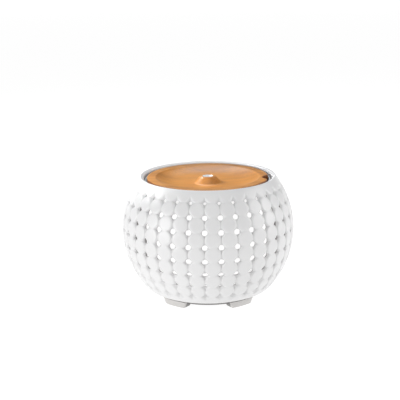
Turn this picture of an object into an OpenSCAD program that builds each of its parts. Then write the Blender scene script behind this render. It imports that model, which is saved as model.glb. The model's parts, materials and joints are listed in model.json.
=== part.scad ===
// Ultrasonic aroma diffuser: a pierced, quilted ceramic bowl over a plastic core
// with a water tank, a mist plate, a fan and a ring of lights, under a wooden lid.
// Millimetres. +Z up, -Y is the front. The origin is on the standing surface, below the bowl's centre.

/* [Bowl] */
// Outer diameter of the ceramic bowl
bowl_d = 160; // [156:1:166]
// Height of the bowl's centre above the standing surface
bowl_z = 63; // [62.5:0.5:64]
// Wall thickness of the ceramic
wall_t = 4.4; // [4:0.1:4.6]
// Diameter of the bowl's mouth
mouth_d = 118.4; // [118:0.2:119.6]
// Height of the top of the bowl's lip
lip_z = 113.2; // [113:0.1:113.6]
// Height of the underside of the ceramic
floor_z = 6.5; // [6.3:0.1:6.6]
// Diameter of the hole in the ceramic floor
floor_hole_d = 80.4; // [80.4:0.2:81]

/* [Piercings] */
// Number of columns of pads and holes round the bowl
columns = 34; // [30:1:36]
// Turn of the first column from the front, in degrees
column_turn = -2.3; // [-5:0.1:5]
// Number of rows that go right through
hole_rows = 7; // [5:1:7]
// Latitude of the top row, in degrees
top_row_lat = 31; // [29:0.5:32]
// Step in latitude from one row to the next
row_step = 9.44; // [9:0.02:9.5]
// Diameter of the holes in the middle rows
hole_d = 4.6; // [4:0.1:5]
// Diameter of the small holes in the top and bottom rows
small_hole_d = 2.2; // [2:0.1:2.6]

/* [Lid] */
// Diameter of the wooden lid
lid_d = 112.2; // [111:0.1:112.4]
// Height of the lid's flat edge
lid_top_z = 112; // [111.6:0.1:112.6]
// Thickness of the lid at its edge
lid_t = 8.4; // [8:0.1:8.6]
// Radius of the dished middle
dish_r = 48.6; // [46:0.2:50]
// Depth of the dished middle
dish_depth = 6; // [5:0.1:6.2]
// Height of the mist chimney's top
chimney_z = 112.2; // [112.1:0.1:113]
// Direction of the finger notch, in degrees from +X
notch_turn = -6; // [-20:1:20]
// Depth of the finger notch
notch_depth = 5.6; // [5:0.1:6]

/* [Base] */
// Number of feet
feet = 5; // [5:1:5]
// Turn of the feet from the front, in degrees
foot_turn = -0.8; // [-3:0.1:3]
// Outer radius of the feet at the bottom
foot_r = 52.5; // [52:0.1:53]
// Outer radius of the feet at the top
foot_top_r = 53.8; // [53:0.1:54]
// Angle that a foot covers at its top, in degrees
foot_angle = 27; // [25:1:30]

/* [Controls] */
// Latitude of the control panel at the back, in degrees
panel_lat = -26; // [-27:1:-25]
// Width of the control panel
panel_w = 47.4; // [46:0.2:48]
// Height of the control panel
panel_h = 16.4; // [16:0.2:17]
// Diameter of a button
button_d = 9; // [8.6:0.2:9.4]
// Distance of a button from the panel's centre
button_y = 14; // [13.5:0.5:14.5]
// Radius of the power socket's bore
socket_r = 3; // [2.9:0.05:3.1]
// Radius of the power socket's centre pin
socket_pin_r = 1.05; // [1:0.05:1.25]

/* [Fan] */
// Side of the square fan
fan_w = 40; // [40:1:40]
// Number of fan blades
blades = 7; // [5:1:9]

/* [Hidden] */
$fn = 96;
eps = 0.01;

// Bowl
bowl_r = bowl_d / 2;
inner_r = bowl_r - wall_t;
floor_t = 3.5;
floor_top_z = floor_z + floor_t;
// the lip slopes down inwards from its crest to the mouth
lip_slope_w = 2.3;
lip_slope_h = 1.3;
foot_rim_r = 52.8;
foot_rim_h = 2.4;
dimple_depth = 0.9;

// Clear window in the piercings round the control panel
window_angle = 26;
window_lat = 16;

// Base, from the standing surface up
foot_z = 0.2;
plate_t = 2.1;
plate_top_z = floor_z - 0.5;
plate_z = plate_top_z - plate_t;
plate_r = 49.5;
foot_inner_r = 44;
foot_end_slope = 2.2;
foot_w_top = foot_r * sin(foot_angle / 2);
foot_w_bottom = foot_r * sin(foot_angle / 2 - foot_end_slope);
foot_turns = [for (i = [0 : feet - 1]) -90 + foot_turn + (i + 0.5) * 360 / feet];
grille_slots = 9;
grille_r = 18;
grille_slot_w = 2;
grille_pitch = 4;
pad_t = 1.4;
pad_in_r = 46;
pad_out_r = 50.6;
pad_angle = 16;
spigot_r = floor_hole_d / 2 - 0.5;
wall_thin = 1.8;
boss_r = 3.8;
boss_ring_r = 33;
bosses = 5;
boss_angles = [for (i = [0 : bosses - 1]) i * 360 / bosses];
screw_shank_r = 1.5;
seal_in_r = 41.5;
seal_lower_r = 49;
seal_upper_r = 53;

// Chassis
gasket_t = 0.8;
flange_z = floor_top_z + gasket_t;
flange_t = 2.5;
flange_top_z = flange_z + flange_t;
flange_r = 53.4;
core_r = 43.4;
core_in_r = 41;
core_top_z = 60.4;
boss_top_z = 20;
sleeve_z = 18;
fan_hole_r = 19;
board_post_r = 35;
board_post_angles = [36, 108, 252, 324];
board_z = 34;
board_t = 1.6;
board_top_z = board_z + board_t;
board_r = 39;
board_flat_x = -22;
lug_z = 46;
lug_t = 4;
lug_r = 36;
lead_z = board_top_z + 1.6;
lead_hole_r = 2;
tank_screw_angles = [0, 120, 240];
led_screw_angles = [15, 135, 255];
led_screw_r = 47.6;

// Tank and lid
tank_z = core_top_z + 0.6;
tank_floor_t = 3;
tank_in_r = 51.5;
tank_out_r = 53.5;
ledge_z = lid_top_z - lid_t;
ledge_t = 3.6;
ledge_bottom_z = ledge_z - ledge_t;
rim_in_r = lid_d / 2 + 0.5;
rim_out_r = 57.9;
rim_z = lid_top_z - 2.2;
collar_r = 58.8;
collar_z = 98;
riser_x = -33;
riser_r = 6;
riser_wall = 1.6;
riser_top_z = 98;
tank_boss_z = lug_z + lug_t;
liner_r = 49.5;
liner_z = ledge_z - 2;
skirt_z = 96;
guard_r = 15.5;
guard_z = 93;
tube_r = 4.6;
tube_in_r = 3.7;
chimney_base_r = 12.5;
chimney_top_r = 7.4;
notch_r = 10.3;
dish_steps = 9;
liner_screw_angles = [60, 180, 300];
liner_screw_r = 43;

// Mist plate under the middle of the tank
plate_disc_r = 10;
plate_seat_r = 11.6;
plate_hole_r = 7.5;
seal_r = 11.5;
seal_t = 1.8;
clamp_z = tank_z - 1.6;
clamp_screw_r = 16;
clamp_screw_angles = [30, 150, 270];

// Fan
fan_z = flange_top_z;
fan_h = 10;
fan_top_z = fan_z + fan_h;
fan_screw_y = 16;
duct_roof_z = 27.5;
duct_wall = 1.2;

// Light ring
led_board_in_r = 44;
led_board_r = 51.2;
led_count = 12;
led_r = 47.6;

// Control panel, measured outward from the bowl's centre along the panel's own axis
panel_out_r = bowl_r - 0.4;
panel_back_r = 73.4;
panel_flange_r = 75;
stem_top = 73.1;
switch_z = 69.2;
switch_board_z = 68;
panel_post_y = 20.5;

// ---------------------------------------------------------------- helpers

module ring(r_out, r_in, h) {
  difference() {
    cylinder(r = r_out, h = h);
    translate([0, 0, -1]) cylinder(r = r_in, h = h + 2);
  }
}

// Copies its children to each angle of a list, at radius r
module around(angles, r) {
  for (a = angles) rotate([0, 0, a]) translate([r, 0, 0]) children();
}

// A pan-head screw pointing up: head below z, shank above
module screw_up(head_r, head_h, shank_r, length) {
  translate([0, 0, -head_h]) cylinder(r = head_r, h = head_h);
  cylinder(r = shank_r, h = length);
}

// The same screw pointing down
module screw_down(head_r, head_h, shank_r, length) {
  mirror([0, 0, 1]) screw_up(head_r, head_h, shank_r, length);
}

// A round wire through a list of points
module wire(points, r) {
  for (i = [0 : len(points) - 2]) {
    step = points[i + 1] - points[i];
    length = norm(step);
    turn = atan2(step[1], step[0]);
    tilt = acos(step[2] / length);
    translate(points[i]) rotate([0, tilt, turn]) cylinder(r = r, h = length, $fn = 24);
  }
  for (i = [1 : 1 : len(points) - 2]) translate(points[i]) sphere(r = r, $fn = 24);
}

// A sector of a ring between two radii, centred on +X
module sector(r_out, r_in, angle, h) {
  reach = 2 * r_out;
  linear_extrude(h) intersection() {
    difference() {
      circle(r = r_out);
      circle(r = r_in);
    }
    polygon([[0, 0], [reach, -reach * tan(angle / 2)], [reach, reach * tan(angle / 2)]]);
  }
}

// The control panel's own frame: +X points outward through the ceramic, at the back
module on_panel() {
  translate([0, 0, bowl_z]) rotate([0, 0, 90]) rotate([0, -panel_lat, 0]) children();
}

// A cylinder along the panel's axis, from one distance to another
module panel_rod(y, r, from, to) {
  translate([from, y, 0]) rotate([0, 90, 0]) cylinder(r = r, h = to - from);
}

// A rounded slab w wide and h high across the panel's axis
module panel_slab(w, h, from, to) {
  for (side = [-1, 1]) panel_rod(side * (w - h) / 2, h / 2, from, to);
  translate([from, -(w - h) / 2, -h / 2]) cube([to - from, w - h, h]);
}

// The same slab bounded by two spheres about the bowl's centre
module curved_slab(w, h, r_in, r_out) {
  difference() {
    intersection() {
      panel_slab(w, h, r_in - 8, r_out + 2);
      sphere(r = r_out, $fn = 180);
    }
    sphere(r = r_in, $fn = 180);
  }
}

// ---------------------------------------------------------------- bowl

function column_angle(i) = -90 + column_turn + i * 360 / columns;
function row_lat(k) = top_row_lat - k * row_step;
function in_window(i, k) =
  abs(column_angle(i) - 90) < window_angle && abs(row_lat(k) - panel_lat) < window_lat;
function hole_size(k) = k == 0 || k == hole_rows - 1 ? small_hole_d : hole_d;

// A radial drill through the bowl at one crossing of a column and a row
module piercing(i, k, d, from) {
  rotate([0, 0, column_angle(i)]) rotate([0, -row_lat(k), 0]) translate([from, 0, 0])
    rotate([0, 90, 0]) cylinder(d = d, h = bowl_r, $fn = 24);
}

module ceramic_bowl() color("whitesmoke") {
  difference() {
    translate([0, 0, bowl_z]) sphere(r = bowl_r, $fn = 180);
    // hollow, down to the floor
    difference() {
      translate([0, 0, bowl_z]) sphere(r = inner_r, $fn = 180);
      translate([0, 0, -bowl_r]) cylinder(r = bowl_r, h = bowl_r + floor_top_z);
    }
    // mouth and lip
    translate([0, 0, bowl_z]) cylinder(d = mouth_d, h = bowl_r);
    translate([0, 0, lip_z]) cylinder(r = bowl_r, h = bowl_r);
    translate([0, 0, lip_z - lip_slope_h])
      cylinder(r1 = mouth_d / 2 - eps, r2 = mouth_d / 2 + lip_slope_w, h = lip_slope_h + eps);
    // floor, its hole and the turned-in bottom edge
    translate([0, 0, floor_z - bowl_r]) cylinder(r = bowl_r, h = bowl_r);
    translate([0, 0, -eps]) cylinder(d = floor_hole_d, h = 2 * floor_top_z);
    translate([0, 0, floor_z - eps]) difference() {
      cylinder(r = bowl_r, h = foot_rim_h);
      translate([0, 0, -eps])
        cylinder(r1 = foot_rim_r, r2 = sqrt(bowl_r ^ 2 - (bowl_z - floor_z - foot_rim_h) ^ 2),
                 h = foot_rim_h + 2 * eps);
    }
    // rows of holes, then a row of blind dimples
    translate([0, 0, bowl_z]) {
      for (k = [0 : hole_rows - 1]) for (i = [0 : columns - 1])
        if (!in_window(i, k)) piercing(i, k, hole_size(k), bowl_r / 2);
      for (i = [0 : columns - 1])
        if (!in_window(i, hole_rows)) piercing(i, hole_rows, small_hole_d, bowl_r - dimple_depth);
    }
    on_panel() panel_slab(panel_w + 0.6, panel_h + 0.6, inner_r - 4, bowl_r + 2);
  }
}

module bowl_gasket_lower() color("dimgray")
  translate([0, 0, plate_top_z]) ring(seal_lower_r, seal_in_r, floor_z - plate_top_z);

module bowl_gasket_upper() color("dimgray")
  translate([0, 0, floor_top_z]) ring(seal_upper_r, seal_in_r + 1.5, gasket_t);

// ---------------------------------------------------------------- base

// One foot at +X: its outer face leans out and its ends slope
module foot() {
  translate([0, 0, foot_z]) intersection() {
    difference() {
      cylinder(r1 = foot_r, r2 = foot_top_r, h = plate_top_z - foot_z);
      translate([0, 0, -1]) cylinder(r = foot_inner_r, h = plate_top_z);
    }
    rotate([90, 0, 90]) linear_extrude(2 * foot_r) polygon([
      [-foot_w_bottom, 0], [foot_w_bottom, 0],
      [foot_w_top, plate_top_z - foot_z], [-foot_w_top, plate_top_z - foot_z]]);
  }
}

module base_plate() color("whitesmoke") {
  difference() {
    union() {
      translate([0, 0, plate_z]) cylinder(r = plate_r, h = plate_top_z - plate_z);
      for (a = foot_turns) rotate([0, 0, a]) foot();
      translate([0, 0, plate_top_z - eps]) ring(spigot_r, spigot_r - wall_thin, 4);
      translate([0, 0, plate_top_z - eps]) ring(24, 22.3, 4);
    }
    // recesses for the rubber pads
    for (a = foot_turns) rotate([0, 0, a]) translate([0, 0, foot_z - 1])
      sector(pad_out_r, pad_in_r, pad_angle, pad_t - foot_z + 1);
    around(boss_angles, boss_ring_r) translate([0, 0, plate_z - 1])
      cylinder(r = screw_shank_r + 0.2, h = 4);
    // air inlet grille
    for (i = [0 : grille_slots - 1]) {
      y = (i - (grille_slots - 1) / 2) * grille_pitch;
      half = sqrt(grille_r ^ 2 - y ^ 2);
      translate([-half, y - grille_slot_w / 2, plate_z - 1]) cube([2 * half, grille_slot_w, 4]);
    }
  }
}

module foot_pads() color("gray")
  for (a = foot_turns) rotate([0, 0, a]) sector(pad_out_r, pad_in_r, pad_angle, pad_t);

module base_screws() color("silver")
  around(boss_angles, boss_ring_r) translate([0, 0, plate_z])
    screw_up(3, 1.7, screw_shank_r, 14);

module inlet_filter() color("darkslategray")
  translate([0, 0, plate_top_z]) cylinder(r = 22, h = flange_z - plate_top_z);

// ---------------------------------------------------------------- chassis

module chassis() color("gainsboro") {
  difference() {
    union() {
      translate([0, 0, flange_z]) cylinder(r = flange_r, h = flange_t);
      translate([0, 0, flange_top_z - eps]) ring(core_r, core_in_r, core_top_z - flange_top_z + eps);
      translate([0, 0, flange_top_z - eps])
        ring(flange_r, flange_r - 1.6, sleeve_z - flange_top_z + eps);
      around(boss_angles, boss_ring_r) translate([0, 0, plate_top_z])
        cylinder(r = boss_r, h = boss_top_z - plate_top_z);
      around(board_post_angles, board_post_r) translate([0, 0, flange_z])
        cylinder(r = 2.6, h = board_z - flange_z);
      // lugs that the tank is screwed to
      intersection() {
        around(tank_screw_angles, lug_r) translate([-5, -5, lug_z]) cube([12, 10, lug_t]);
        translate([0, 0, lug_z - 1]) cylinder(r = core_in_r + 1, h = lug_t + 2);
      }
    }
    translate([0, 0, flange_z - 1]) cylinder(r = fan_hole_r, h = flange_t + 2);
    around(boss_angles, boss_ring_r) translate([0, 0, plate_top_z - 1])
      cylinder(r = screw_shank_r + 0.05, h = 14.5);
    around(board_post_angles, board_post_r) translate([0, 0, board_z - 9])
      cylinder(r = 1.05, h = 10);
    around(tank_screw_angles, lug_r) translate([0, 0, lug_z - 1]) cylinder(r = 1.6, h = lug_t + 2);
    around(led_screw_angles, led_screw_r) translate([0, 0, flange_z - 1])
      cylinder(r = 0.95, h = flange_t + 2);
    for (x = [-1, 1], y = [-1, 1]) translate([x * fan_screw_y, y * fan_screw_y, flange_z - 1])
      cylinder(r = 1.55, h = flange_t + 2);
    // holes for the leads, at the back and at the front
    for (side = [-1, 1]) translate([0, 0, lead_z]) rotate([-90 * side, 0, 0])
      translate([0, 0, core_in_r - 3]) cylinder(r = lead_hole_r, h = 8);
  }
}

// The lit inner wall, with a collar at the top that holds the tank's rim
module light_sleeve() color("ivory", 0.6) {
  difference() {
    union() {
      translate([0, 0, sleeve_z]) cylinder(r = rim_out_r, h = ledge_bottom_z - sleeve_z);
      translate([0, 0, collar_z]) cylinder(r = collar_r, h = ledge_z - collar_z);
    }
    translate([0, 0, sleeve_z + 1.5]) cylinder(r = rim_in_r, h = ledge_z);
    translate([0, 0, sleeve_z - 1]) cylinder(r = flange_r - 1.8, h = ledge_z);
    translate([0, 0, ledge_bottom_z]) cylinder(r = rim_out_r + 0.1, h = ledge_t + 1);
    translate([0, 0, lead_z]) rotate([-90, 0, 0]) cylinder(r = lead_hole_r, h = bowl_r);
  }
}

// ---------------------------------------------------------------- tank

module tank() color("aliceblue", 0.7) {
  difference() {
    union() {
      translate([0, 0, tank_z]) cylinder(r = tank_out_r, h = ledge_z - tank_z);
      translate([0, 0, ledge_bottom_z]) cylinder(r = rim_out_r, h = rim_z - ledge_bottom_z);
      around(tank_screw_angles, lug_r) translate([0, 0, tank_boss_z])
        cylinder(r = 3.4, h = tank_z - tank_boss_z + 1);
    }
    difference() {
      translate([0, 0, tank_z + tank_floor_t]) cylinder(r = tank_in_r, h = bowl_r);
      translate([riser_x, 0, tank_z])
        cylinder(r = riser_r + riser_wall, h = riser_top_z - tank_z);
    }
    translate([0, 0, ledge_z]) cylinder(r = rim_in_r, h = bowl_r);
    translate([riser_x, 0, tank_z - 1]) cylinder(r = riser_r, h = riser_top_z);
    translate([0, 0, tank_z - 1]) cylinder(r = plate_seat_r, h = seal_t + 1);
    translate([0, 0, tank_z - 1]) cylinder(r = plate_hole_r, h = tank_floor_t + 2);
    around(clamp_screw_angles, clamp_screw_r) translate([0, 0, tank_z - 1]) cylinder(r = 1.25, h = 3.2);
    around(tank_screw_angles, lug_r) translate([0, 0, tank_boss_z - 1]) cylinder(r = 1.35, h = 9);
  }
}

module tank_gasket() color("dimgray")
  translate([0, 0, core_top_z]) ring(core_r, core_in_r, tank_z - core_top_z);

module tank_screws() color("silver")
  around(tank_screw_angles, lug_r) translate([0, 0, lug_z]) screw_up(2.8, 2.2, 1.3, 11);

// ---------------------------------------------------------------- lid

// Height of the dish at radius r: a circular bowl that meets the chimney's foot
function dish_z(r) = lid_top_z - dish_depth * cos(90 * ((r - chimney_base_r) /
                     (dish_r - chimney_base_r)) ^ 2);

module wood_lid() color("peru") {
  difference() {
    rotate_extrude() polygon(concat(
      [[0, ledge_z], [lid_d / 2 - 0.6, ledge_z], [lid_d / 2, ledge_z + 0.6],
       [lid_d / 2, lid_top_z - 0.6], [lid_d / 2 - 0.6, lid_top_z]],
      [for (i = [0 : dish_steps]) let (r = dish_r + (chimney_base_r - dish_r) * i / dish_steps)
         [r, dish_z(r)]],
      [[chimney_top_r, chimney_z], [0, chimney_z]]));
    translate([0, 0, ledge_z - 1]) cylinder(r = tube_r + 0.1, h = 20);
    rotate([0, 0, notch_turn]) translate([lid_d / 2 - notch_depth + notch_r, 0, ledge_z - 1])
      cylinder(r = notch_r, h = 20);
    around(liner_screw_angles, liner_screw_r) translate([0, 0, ledge_z - 1]) cylinder(r = 1.2, h = 5.4);
  }
}

module lid_liner() color("white") {
  difference() {
    union() {
      translate([0, 0, liner_z]) cylinder(r = liner_r, h = ledge_z - liner_z);
      translate([0, 0, skirt_z]) ring(liner_r, liner_r - 1.6, liner_z - skirt_z + eps);
      translate([0, 0, guard_z]) ring(guard_r, guard_r - 1.4, liner_z - guard_z + eps);
      translate([0, 0, ledge_z - eps]) cylinder(r = tube_r, h = chimney_z - 0.8 - ledge_z);
    }
    translate([0, 0, liner_z - 1]) cylinder(r = tube_in_r, h = 20);
    around(liner_screw_angles, liner_screw_r) translate([0, 0, liner_z - 1]) cylinder(r = 1.3, h = 5);
  }
}

module lid_seal() color("lightgray")
  translate([0, 0, skirt_z + 1.5]) ring(tank_in_r - 0.4, liner_r, 2);

module liner_screws() color("silver")
  around(liner_screw_angles, liner_screw_r) translate([0, 0, liner_z]) screw_up(2.5, 1.6, 1.15, 6);

// ---------------------------------------------------------------- mist plate

module transducer_disc() color("gold")
  translate([0, 0, tank_z + 0.5]) cylinder(r = plate_disc_r, h = 0.8);

module transducer_seal() color("dimgray") translate([0, 0, tank_z]) difference() {
  cylinder(r = seal_r, h = seal_t);
  translate([0, 0, 0.5]) cylinder(r = plate_disc_r, h = 0.8);
  translate([0, 0, -1]) cylinder(r = 8.4, h = 4);
}

module transducer_clamp() color("silver") difference() {
  translate([0, 0, clamp_z]) ring(19.5, 8.4, tank_z - clamp_z);
  around(clamp_screw_angles, clamp_screw_r) translate([0, 0, clamp_z - 1]) cylinder(r = 1.4, h = 4);
}

module transducer_screws() color("silver")
  around(clamp_screw_angles, clamp_screw_r) translate([0, 0, clamp_z]) screw_up(2.2, 1.5, 1.2, 3.6);

// ---------------------------------------------------------------- fan

module fan_frame() color("dimgray") {
  difference() {
    translate([-fan_w / 2, -fan_w / 2, fan_z]) cube([fan_w, fan_w, fan_h]);
    translate([0, 0, fan_z - 1]) cylinder(r = 18.9, h = fan_h + 2);
    for (x = [-1, 1], y = [-1, 1]) translate([x * fan_screw_y, y * fan_screw_y, fan_z - 1])
      cylinder(r = 1.7, h = fan_h + 2);
  }
  translate([0, 0, fan_z]) cylinder(r = 9, h = 1.4);
  for (a = [90, 210, 330]) rotate([0, 0, a]) translate([8, -1, fan_z]) cube([11.2, 2, 1.4]);
  translate([0, 0, fan_z + 1.4 - eps]) ring(3.2, 2.2, 5.2);
}

module fan_bearing() color("darkgoldenrod")
  translate([0, 0, fan_z + 1.4]) ring(2.2, 1.05, 5.2);

module fan_stator() color("sienna") {
  translate([0, 0, fan_z + 2]) {
    ring(4.6, 3.2, 4);
    for (a = [0 : 90 : 270]) rotate([0, 0, a]) {
      translate([4.4, -1.2, 0.6]) cube([3.4, 2.4, 2.8]);
      sector(8.8, 7.7, 60, 4);
    }
  }
}

module fan_rotor() color("dimgray") {
  difference() {
    union() {
      translate([0, 0, fan_z + 2]) ring(11.8, 10.4, 6);
      translate([0, 0, fan_z + 8 - eps]) cylinder(r = 11.8, h = 1.2);
      for (i = [0 : blades - 1]) rotate([0, 0, i * 360 / blades])
        translate([11.2, -0.5, fan_z + 5.4]) rotate([38, 0, 0]) translate([0, -4.4, -0.5])
          cube([6.9, 8.8, 1]);
    }
    translate([0, 0, fan_z]) cylinder(r = 1, h = fan_h);
  }
}

module fan_magnet() color("black")
  translate([0, 0, fan_z + 2.4]) ring(10.4, 9.3, 4.8);

module fan_shaft() color("silver")
  translate([0, 0, fan_z + 1.8]) cylinder(r = 1, h = 7.2);

module fan_screws() color("silver")
  for (x = [-1, 1], y = [-1, 1]) translate([x * fan_screw_y, y * fan_screw_y, fan_top_z])
    screw_down(2.6, 1.6, 1.5, 12);

// A hood over the fan with a side channel and a stack up to the tank's air riser
module duct_shape(t) {
  w = fan_w / 2 + 2 - t;
  translate([-w, -w, fan_top_z - 3]) cube([2 * w, 2 * w, duct_roof_z - fan_top_z + 3 - t]);
  translate([-39.6 + t, -8.5 + t, fan_top_z - 3 + t])
    cube([39.6 - t, 17 - 2 * t, duct_roof_z - fan_top_z + 3 - 2 * t]);
}

module air_duct() color("lightgray") {
  difference() {
    union() {
      duct_shape(0);
      translate([riser_x, 0, duct_roof_z - 1]) cylinder(r = 7.4, h = tank_z - duct_roof_z + 1);
    }
    duct_shape(duct_wall);
    translate([-fan_w / 2 - 0.8, -fan_w / 2 - 0.8, fan_top_z - 5])
      cube([fan_w + 1.6, fan_w + 1.6, 7]);
    translate([riser_x, 0, duct_roof_z - 4]) cylinder(r = riser_r, h = tank_z);
  }
}

// ---------------------------------------------------------------- electronics

module main_board() color("darkgreen") {
  difference() {
    intersection() {
      translate([0, 0, board_z]) cylinder(r = board_r, h = board_t);
      translate([board_flat_x, -board_r, board_z - 1]) cube([2 * board_r, 2 * board_r, 4]);
    }
    around(board_post_angles, board_post_r) translate([0, 0, board_z - 1])
      cylinder(r = 1.2, h = board_t + 2);
  }
}

module board_parts() color("black") translate([0, 0, board_top_z]) {
  translate([18, -14, 0]) cylinder(r = 4, h = 9);
  translate([27, -11, 0]) cylinder(r = 3.2, h = 7);
  translate([-8, 14, 0]) cylinder(r = 2.5, h = 6);
  translate([20, 8, 0]) ring(6, 3, 5);
  translate([-4, -18, 0]) cube([7, 7, 1.4]);
  translate([8, -4, 0]) cube([5, 5, 1.2]);
  translate([-16, -8, 0]) cube([4, 6, 2]);
  // lead connectors
  translate([-4, 27, 0]) cube([8, 6, 3.6]);
  translate([-4, -33, 0]) cube([8, 6, 3.6]);
  translate([1, -3, 0]) cube([6, 6, 3.6]);
}

module heat_sink() color("silver") translate([-18, 0, board_top_z]) {
  cube([12, 10, 1.6]);
  for (i = [0 : 4]) translate([i * 2.75, 0, 1.6 - eps]) cube([1, 10, 6.4]);
}

module board_screws() color("silver")
  around(board_post_angles, board_post_r) translate([0, 0, board_top_z]) screw_down(2.2, 1.4, 1, 7);

module led_board() color("white") {
  difference() {
    translate([0, 0, flange_top_z]) ring(led_board_r, led_board_in_r, 1.2);
    around(led_screw_angles, led_screw_r) translate([0, 0, flange_top_z - 1])
      cylinder(r = 1, h = 4);
  }
}

module leds() color("lightyellow")
  for (i = [0 : led_count - 1]) rotate([0, 0, (i + 0.25) * 360 / led_count]) translate([led_r, 0, 0])
    translate([-1.4, -1.75, flange_top_z + 1.2]) cube([2.8, 3.5, 1.1]);

module led_screws() color("silver")
  around(led_screw_angles, led_screw_r) translate([0, 0, flange_top_z + 1.2])
    screw_down(1.7, 1, 0.9, 3.4);

module led_lead() color("white")
  wire([[0, -46.5, flange_top_z + 1.2], [0, -46.5, lead_z], [0, -33, lead_z]], 1.2);

module fan_lead() color("red")
  wire([[fan_w / 2, 5, fan_z + 3], [26, 5, fan_z + 3], [26, 5, board_z]], 0.9);

module transducer_lead() color("red")
  wire([[4, 0, board_top_z + 3.6], [4, 0, tank_z + 0.5]], 1);

// ---------------------------------------------------------------- control panel

module panel_bores(y, r) panel_rod(y, r, switch_z, bowl_r + 2);

module rear_panel() color("whitesmoke") on_panel() {
  difference() {
    union() {
      curved_slab(panel_w, panel_h, panel_back_r, panel_out_r);
      curved_slab(panel_w + 6, panel_h + 6, panel_back_r, panel_flange_r);
      for (side = [-1, 1]) panel_rod(side * panel_post_y, 2.2, switch_z, panel_back_r + 0.5);
    }
    for (side = [-1, 1]) {
      panel_bores(side * button_y, button_d / 2 + 0.3);
      panel_rod(side * button_y, button_d / 2 + 1.3, 70, 75);
      panel_rod(side * panel_post_y, 0.9, switch_z - 1, 74.5);
    }
    panel_bores(0, 4);
  }
}

module panel_gasket() color("dimgray") on_panel() difference() {
  curved_slab(panel_w + 6, panel_h + 6, panel_flange_r, inner_r);
  panel_slab(panel_w, panel_h, 60, bowl_r);
}

// A cap with a retaining collar and a short plunger
module button(y) {
  panel_rod(y, button_d / 2, 74.6 - eps, 80.1);
  panel_rod(y, button_d / 2 + 0.9, 73.7, 74.6);
  panel_rod(y, 1.5, stem_top, 73.7 + eps);
}

module mist_button() color("white") on_panel() button(-button_y);

module light_button() color("white") on_panel() button(button_y);

module stem(y) panel_rod(y, 1.5, 71.1, stem_top);

module mist_stem() color("dimgray") on_panel() stem(-button_y);

module light_stem() color("dimgray") on_panel() stem(button_y);

module switch_bodies() color("black") on_panel() for (side = [-1, 1]) difference() {
  translate([switch_z, side * button_y - 3, -3]) cube([2.8, 6, 6]);
  panel_rod(side * button_y, 1.7, 70.1, 75);
}

module switch_board() color("darkgreen") on_panel() difference() {
  panel_slab(46, 10, switch_board_z, switch_z);
  for (side = [-1, 1]) panel_rod(side * panel_post_y, 1, switch_board_z - 1, switch_z + 1);
}

module dc_jack() color("black") on_panel() difference() {
  union() {
    translate([switch_z, -4.5, -4.5]) cube([3.4, 9, 9]);
    panel_rod(0, 3.9, switch_z, 79);
  }
  panel_rod(0, socket_r, 70.2, 82);
}

module dc_jack_pin() color("silver") on_panel() panel_rod(0, socket_pin_r, 70.2, 77.4);

module panel_screws() color("silver") on_panel() for (side = [-1, 1]) {
  panel_rod(side * panel_post_y, 1.8, switch_board_z - 1.1, switch_board_z);
  panel_rod(side * panel_post_y, 0.85, switch_board_z - eps, 73.6);
}

module panel_lead() color("white")
  wire([[0, 61.4, lead_z], [0, 33, lead_z]], 1.4);

ceramic_bowl();
wood_lid();
lid_liner();
lid_seal();
liner_screws();
tank();
tank_gasket();
tank_screws();
light_sleeve();
chassis();
base_plate();
foot_pads();
base_screws();
bowl_gasket_lower();
bowl_gasket_upper();
inlet_filter();
fan_frame();
fan_bearing();
fan_stator();
fan_rotor();
fan_magnet();
fan_shaft();
fan_screws();
air_duct();
transducer_disc();
transducer_seal();
transducer_clamp();
transducer_screws();
transducer_lead();
main_board();
board_parts();
heat_sink();
board_screws();
led_board();
leds();
led_screws();
led_lead();
fan_lead();
rear_panel();
panel_gasket();
mist_button();
light_button();
mist_stem();
light_stem();
switch_board();
switch_bodies();
dc_jack();
dc_jack_pin();
panel_screws();
panel_lead();
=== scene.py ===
import json
import math

import bmesh
import bpy
import numpy as np
from mathutils import Matrix, Vector


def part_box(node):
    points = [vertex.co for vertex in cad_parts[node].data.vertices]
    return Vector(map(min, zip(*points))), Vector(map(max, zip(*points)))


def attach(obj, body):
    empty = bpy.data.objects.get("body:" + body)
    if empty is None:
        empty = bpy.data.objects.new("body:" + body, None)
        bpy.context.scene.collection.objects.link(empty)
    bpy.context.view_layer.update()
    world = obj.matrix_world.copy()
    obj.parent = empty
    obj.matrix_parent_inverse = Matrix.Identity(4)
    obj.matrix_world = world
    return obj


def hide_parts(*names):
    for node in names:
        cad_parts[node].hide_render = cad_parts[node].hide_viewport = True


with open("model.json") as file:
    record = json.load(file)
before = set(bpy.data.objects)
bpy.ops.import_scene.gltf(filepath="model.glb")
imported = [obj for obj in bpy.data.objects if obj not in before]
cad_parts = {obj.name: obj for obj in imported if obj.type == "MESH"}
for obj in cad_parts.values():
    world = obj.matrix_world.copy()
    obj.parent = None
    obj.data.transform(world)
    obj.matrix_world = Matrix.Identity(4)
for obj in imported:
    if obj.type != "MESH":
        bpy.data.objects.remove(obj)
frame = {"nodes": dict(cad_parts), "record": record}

MM = 0.001
TAU = 2 * math.pi
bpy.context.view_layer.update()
nodes = frame["nodes"]
slot_of = {s["node"]: s["material_slot"] for s in frame["record"]["subparts"]}
body_of = {n: b for b, names in frame["record"]["behaviour"]["bodies"].items() for n in names}

# ---------------------------------------------------------------- sizes; heights come from the frame

bowl_lo, bowl_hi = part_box("ceramic_bowl")
lid_lo, lid_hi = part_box("wood_lid")

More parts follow.
